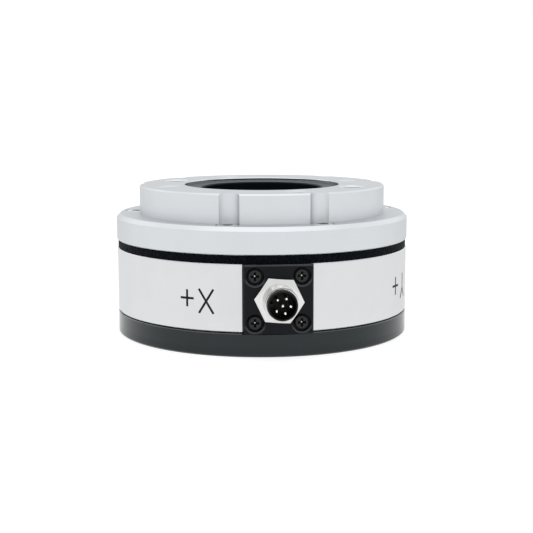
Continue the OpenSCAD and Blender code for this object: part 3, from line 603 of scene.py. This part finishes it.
def softbox(name, place, size, radiance):
    """A rectangular lamp whose surface has the given brightness."""
    data = bpy.data.lights.new(name, "AREA")
    data.shape = "RECTANGLE"
    data.size, data.size_y = size
    data.energy = radiance * math.pi * size[0] * size[1]
    lamp = bpy.data.objects.new(name, data)
    bpy.context.scene.collection.objects.link(lamp)
    lamp.location = place
    lamp.rotation_euler = (LAMP_AIM - Vector(place)).to_track_quat("-Z", "Y").to_euler()


def seen_directly(tree):
    """1 for rays that show the surroundings as such: from the camera, off gloss and through glass."""
    path = tree.nodes.new("ShaderNodeLightPath")
    seen = path.outputs["Is Camera Ray"]
    for ray in ("Is Glossy Ray", "Is Transmission Ray"):
        seen = math_node(tree, "MAXIMUM", seen, path.outputs[ray])
    return seen


def mix_shaders(tree, fac, first, second):
    """The first shader where fac is 0, and the second where it is 1."""
    mix = tree.nodes.new("ShaderNodeMixShader")
    tree.links.new(fac, mix.inputs["Fac"])
    tree.links.new(first, mix.inputs[1])
    tree.links.new(second, mix.inputs[2])
    return mix.outputs["Shader"]


WHITE = (1, 1, 1, 1)
WORLD_LIGHT = 0.7
WORLD_SHOWN = 1.0


def add_world():
    """Even light from all sides, which shows as plain white."""
    world = bpy.data.worlds.new("studio")
    bpy.context.scene.world = world
    world.use_nodes = True
    tree = world.node_tree
    light = tree.nodes["Background"]
    light.inputs["Color"].default_value = WHITE
    light.inputs["Strength"].default_value = WORLD_LIGHT
    shown = tree.nodes.new("ShaderNodeBackground")
    shown.inputs["Color"].default_value = WHITE
    shown.inputs["Strength"].default_value = WORLD_SHOWN
    world_shader = mix_shaders(tree, seen_directly(tree), light.outputs["Background"], shown.outputs["Background"])
    tree.links.new(world_shader, tree.nodes["World Output"].inputs["Surface"])


FLOOR_HALF = 3.0
FLOOR_GAP = 0.02 * MM
CONTACT_REACH = 10 * MM

# The light that the floor throws back at the object
FLOOR_BOUNCE = (0.82, 0.82, 0.82)
FLOOR_ROUGHNESS = 0.9

# The floor as it shows: a diffuse share that keeps the object's shadow, and a glow that fills it up to white
FLOOR_SHOWN = (0.5, 0.5, 0.5, 1)
FLOOR_GLOW = 0.74


def floor_clear(tree):
    """1 where the floor lets the underside be seen and lit: from below, and right against the object."""
    geometry = tree.nodes.new("ShaderNodeNewGeometry")
    path = tree.nodes.new("ShaderNodeLightPath")
    close = math_node(tree, "LESS_THAN", path.outputs["Ray Length"], CONTACT_REACH)
    return math_node(tree, "MAXIMUM", close, geometry.outputs["Backfacing"])


def floor_material():
    """White to look at, with the object's shadow, and clear from below."""
    material = principled("floor_white", FLOOR_BOUNCE, 0.0, FLOOR_ROUGHNESS, specular=0.0)
    tree = material.node_tree
    diffuse = tree.nodes.new("ShaderNodeBsdfDiffuse")
    diffuse.inputs["Color"].default_value = FLOOR_SHOWN
    glow = tree.nodes.new("ShaderNodeEmission")
    glow.inputs["Strength"].default_value = FLOOR_GLOW
    shown = tree.nodes.new("ShaderNodeAddShader")
    tree.links.new(diffuse.outputs["BSDF"], shown.inputs[0])
    tree.links.new(glow.outputs["Emission"], shown.inputs[1])
    clear = tree.nodes.new("ShaderNodeBsdfTransparent")
    solid = mix_shaders(tree, seen_directly(tree), shader_of(tree).outputs["BSDF"], shown.outputs["Shader"])
    surface = mix_shaders(tree, floor_clear(tree), solid, clear.outputs["BSDF"])
    tree.links.new(surface, tree.nodes["Material Output"].inputs["Surface"])
    return material


def add_floor():
    """The floor, just under the object, so that their faces don't coincide."""
    mesh = bpy.data.meshes.new("floor")
    corners = [(-FLOOR_HALF, -FLOOR_HALF), (FLOOR_HALF, -FLOOR_HALF), (FLOOR_HALF, FLOOR_HALF),
               (-FLOOR_HALF, FLOOR_HALF)]
    mesh.from_pydata([(x, y, -FLOOR_GAP) for x, y in corners], [], [(0, 1, 2, 3)])
    floor = bpy.data.objects.new("floor", mesh)
    bpy.context.scene.collection.objects.link(floor)
    mesh.materials.append(floor_material())


# ---- connector with its thread ----

RING_POINTS = 144
THREAD_RINGS = 64
THREAD_CLEAR = 0.05 * MM

# A groove's section is a triangle wave, stretched and cut off to give flat crests and flat bottoms
GROOVE_STRETCH = 1.35
GROOVE_DROP = 0.1


def hexagon_radius(angle):
    """Radius of the hexagon, whose corners lie at 0, 60, 120 ... degrees."""
    off = (angle + math.pi / 6) % (math.pi / 3) - math.pi / 6
    return HEX_FLAT_R / math.cos(math.pi / 6 - abs(off))


def barrel_radius(angle, reach):
    """Radius of the threaded barrel, with the thread's run-in and the bevel at its end."""
    along = reach - HEX_FACE
    fade = min(1, max(0, (along - THREAD_START + THREAD_RUN_IN) / THREAD_RUN_IN))
    phase = (along / THREAD_PITCH - angle / (2 * math.pi)) % 1
    wave = 1 - abs(2 * phase - 1)
    groove = min(1, max(0, wave * GROOVE_STRETCH - GROOVE_DROP))
    bevel = max(0, reach - (BARREL_FACE - THREAD_END_BEVEL))
    return min(BARREL_R - THREAD_DEPTH * groove * fade, BARREL_R - bevel)


def threaded_connector():
    """The connector's body: rear barrel, bevelled hexagon and threaded front barrel, as one skin."""
    angles = [2 * math.pi * k / RING_POINTS for k in range(RING_POINTS)]
    bevel_r = HEX_FLAT_R - HEX_LAND
    collar_base = INSERT_FACE - COLLAR_REACH

    def round_ring(reach, radius):
        return [on_connector(radius, a + CONNECTOR_TURN, reach) for a in angles]

    def hexagon_ring(bevelled):
        ring = []
        for a in angles:
            radius = hexagon_radius(a)
            reach = HEX_FACE - (radius - bevel_r) * HEX_SLOPE if bevelled else PLATE_FACE
            ring.append(on_connector(radius, a + CONNECTOR_TURN, reach))
        return ring

    rings = [round_ring(REAR_FACE, REAR_BORE_R), round_ring(REAR_FACE, REAR_R), round_ring(PLATE_FACE, REAR_R)]
    rings += [hexagon_ring(False), hexagon_ring(True), round_ring(HEX_FACE, bevel_r)]
    rings.append(round_ring(HEX_FACE, BARREL_R - THREAD_DEPTH))
    start = HEX_FACE + THREAD_CLEAR
    for i in range(THREAD_RINGS + 1):
        reach = start + (BARREL_FACE - start) * i / THREAD_RINGS
        rings.append([on_connector(barrel_radius(a, reach), a + CONNECTOR_TURN, reach) for a in angles])
    rings.append(round_ring(BARREL_FACE, BORE_R))
    rings += [round_ring(collar_base, BORE_R), round_ring(collar_base, REAR_BORE_R)]
    points, faces = closed_skin(rings)
    piece = mesh_piece("threaded_connector", points, faces, MATERIALS["nickel"], 35)
    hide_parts("connector_body")


# ---- axis marks on the housing ----

MARK_STROKE = 0.55 * MM
MARK_PROUD = 0.012 * MM
MARK_STEPS = 10
MARK_Z = 13.0 * MM


def axis_mark(name, angle, strokes):
    """Thin printed strokes on the housing. Each stroke is (start, end), sideways and upwards from the centre."""
    points, faces = [], []
    for start, end in strokes:
        along = Vector(end) - Vector(start)
        across = Vector((-along.y, along.x)).normalized() * MARK_STROKE / 2
        first = len(points)
        for i in range(MARK_STEPS + 1):
            middle = Vector(start) + along * i / MARK_STEPS
            for side, proud in ((-1, -1), (-1, 1), (1, 1), (1, -1)):
                spot = middle + across * side
                turn = math.radians(angle) + spot.x / BODY_R
                radius = BODY_R + MARK_PROUD * proud
                points.append((radius * math.sin(turn), -radius * math.cos(turn), MARK_Z + spot.y))
        for i in range(MARK_STEPS):
            a = first + 4 * i
            for k in range(4):
                m = (k + 1) % 4
                faces.append((a + k, a + m, a + 4 + m, a + 4 + k))
        last = first + 4 * MARK_STEPS
        faces.append((first, first + 3, first + 2, first + 1))
        faces.append((last, last + 1, last + 2, last + 3))
    mesh_piece(name, points, faces, MATERIALS["mark_ink"])


# Strokes of the signs, whose centre, width and height are given in millimetres

def plus(x, y, width, height):
    w, h = width / 2 * MM, height / 2 * MM
    x, y = x * MM, y * MM
    return [((x - w, y), (x + w, y)), ((x, y - h), (x, y + h))]


def letter_x(x, y, width, height):
    w, h = width / 2 * MM, height / 2 * MM
    x, y = x * MM, y * MM
    return [((x - w, y - h), (x + w, y + h)), ((x - w, y + h), (x + w, y - h))]


def letter_y_turned(x, y, width, height, fork):
    """A Y upside down, whose stem points up from the fork."""
    w, h = width / 2 * MM, height / 2 * MM
    x, y, fork = x * MM, y * MM, fork * MM
    return [((x, y + fork), (x, y + h)), ((x, y + fork), (x - w, y - h)), ((x, y + fork), (x + w, y - h))]


# ---- the scene ----

add_camera()
add_world()
add_floor()
for lamp in LAMPS:
    softbox(*lamp)

threaded_connector()
axis_mark("axis_mark_x", -30, plus(-2.6, 0.5, 3.6, 4.1) + letter_x(2.4, 0, 3.7, 5.8))
axis_mark("axis_mark_y", 60, plus(-2.2, 0.6, 3.7, 4.5) + letter_y_turned(3.5, 0, 3.7, 6.2, -0.5))
dress_nodes()

bpy.context.scene.view_settings.view_transform = "Standard"
